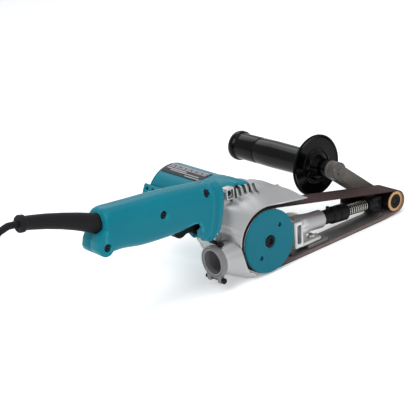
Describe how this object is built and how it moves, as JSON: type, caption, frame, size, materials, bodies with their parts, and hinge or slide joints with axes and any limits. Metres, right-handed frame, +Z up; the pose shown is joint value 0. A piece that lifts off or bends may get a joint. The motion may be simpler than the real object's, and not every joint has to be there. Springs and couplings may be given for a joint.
{
  "type": "handheld belt sander",
  "caption": "Handheld narrow belt sander: drive wheel and sprung idler arm carry an abrasive loop, with pistol body, cross motor, swing side grip, dust nozzle and cord.",
  "frame": {"origin": "on the underside of the belt's flat run, midway across the belt and 85 mm forward of the drive pulley's axis", "axes": "+X forward along the flat belt run towards the idler, +Y towards the motor side, +Z up away from the work"},
  "size_m": [0.6188, 0.1969, 0.1482],
  "materials": {
    "teal_plastic": "moulded, fine satin grain",
    "teal_face": "smooth satin",
    "cast_aluminium": "die cast, fine blasted",
    "black_plastic": "polished moulding",
    "black_moulding": "satin moulding",
    "cord_rubber": "matt",
    "black_steel": "blackened",
    "bright_steel": "zinc plated",
    "plate_steel": "brown-grey plated",
    "platen_steel": "rolled sheet",
    "gear_steel": "hardened",
    "bearing_steel": "ground",
    "abrasive_cloth": "coated abrasive grain outside, cloth inside",
    "brass": "machined",
    "copper": "machined bars",
    "lamination_iron": "varnished laminations",
    "carbon": "pressed carbon",
    "label_film": "printed film, left blank"
  },
  "bodies": {
    "machine": {"gear_housing": "cast_aluminium", "gear_cover": "cast_aluminium", "belt_cover": "cast_aluminium", "dust_nozzle": "cast_aluminium", "nozzle_clamp": "cast_aluminium", "clamp_screw": "black_steel", "motor_housing": "teal_plastic", "motor_end_cover": "teal_plastic", "nameplate": "label_film", "brush_cap_front": "black_moulding", "brush_cap_rear": "black_moulding", "carbon_brush_front": "carbon", "carbon_brush_rear": "carbon", "field_stator": "lamination_iron", "motor_bearing_front": "bearing_steel", "motor_bearing_rear": "bearing_steel", "spindle_bearing_front": "bearing_steel", "spindle_bearing_rear": "bearing_steel", "handle_right": "teal_plastic", "handle_left": "teal_plastic", "handle_screw_rear": "black_steel", "handle_screw_middle": "black_steel", "handle_screw_front": "black_steel", "switch_body": "black_moulding", "arm_bracket": "cast_aluminium", "arm_sleeve": "black_steel", "shoe_screw": "bright_steel", "platen": "platen_steel", "tension_spring": "bright_steel", "abrasive_belt": "abrasive_cloth", "cord_guard": "cord_rubber", "cord_lead": "cord_rubber", "cord_coil": "cord_rubber", "plug_body": "cord_rubber", "plug_pin_a": "bright_steel", "plug_pin_b": "bright_steel"},
    "drive_wheel": {"drive_pulley": "cast_aluminium", "pulley_face": "teal_face", "pulley_screw": "black_steel", "drive_gear": "gear_steel", "drive_spindle": "bright_steel"},
    "rotor": {"motor_shaft": "bright_steel", "motor_pinion": "gear_steel", "cooling_fan": "black_moulding", "armature_core": "lamination_iron", "commutator": "copper"},
    "sliding_arm": {"tension_arm": "black_steel", "idler_axle": "black_steel", "axle_nut": "bright_steel"},
    "idler_wheel": {"idler_pulley": "black_steel", "idler_ring": "brass"},
    "grip": {"grip_plate": "plate_steel", "grip_bolt": "plate_steel", "side_grip": "black_plastic"},
    "trigger": {"trigger": "black_moulding"},
    "lock_button": {"lock_button": "black_moulding"},
    "speed_dial": {"speed_dial": "black_moulding"},
    "tension_release": {"tension_release": "black_steel"},
    "tracking_collar": {"tracking_collar": "black_steel"}
  },
  "joints": [
    {"name": "spindle_spin", "type": "hinge", "parent": "machine", "child": "drive_wheel", "pos_m": [-0.085, 0, 0.034], "axis": [0, 1, 0], "continuous": true},
    {"name": "motor_spin", "type": "hinge", "parent": "machine", "child": "rotor", "pos_m": [-0.1025, 0.06, 0.06212], "axis": [0, 1, 0], "continuous": true},
    {"name": "arm_slide", "type": "slide", "parent": "machine", "child": "sliding_arm", "axis": [-0.9952, 0, 0.0976], "range_m": [0, 0.01], "stiffness_N_per_m": 3000, "springref_m": -0.01, "deforming": ["tension_spring"]},
    {"name": "idler_spin", "type": "hinge", "parent": "sliding_arm", "child": "idler_wheel", "pos_m": [0.10742, 0, 0.01513], "axis": [0, 1, 0], "continuous": true},
    {"name": "grip_swing", "type": "hinge", "parent": "sliding_arm", "child": "grip", "pos_m": [0.10742, 0.022, 0.01513], "axis": [0, 1, 0], "range_deg": [-7, 60]},
    {"name": "trigger_press", "type": "hinge", "parent": "machine", "child": "trigger", "pos_m": [-0.159, 0, 0.079], "axis": [0, 1, 0], "range_deg": [0, 7], "stiffness_Nm_per_rad": 2, "springref_deg": -2.86},
    {"name": "lock_button_press", "type": "slide", "parent": "machine", "child": "lock_button", "axis": [0, -1, 0], "range_m": [0, 0.002], "stiffness_N_per_m": 300, "springref_m": -0.001},
    {"name": "speed_dial_turn", "type": "hinge", "parent": "machine", "child": "speed_dial", "pos_m": [-0.251, 0.0154, 0.105], "axis": [0, 1, 0], "range_deg": [0, 270]},
    {"name": "tension_release_press", "type": "slide", "parent": "machine", "child": "tension_release", "axis": [-0.0976, 0, -0.9952], "range_m": [0, 0.0015], "stiffness_N_per_m": 300, "springref_m": -0.0005},
    {"name": "tracking_collar_turn", "type": "hinge", "parent": "machine", "child": "tracking_collar", "pos_m": [0.03343, 0, 0.02239], "axis": [0.9952, 0, -0.0976], "range_deg": [-30, 30]}
  ],
  "couplings": [
    {"joint": "motor_spin", "follows": "spindle_spin", "ratio": -4.8889},
    {"joint": "idler_spin", "follows": "spindle_spin", "ratio": 2.7966}
  ]
}
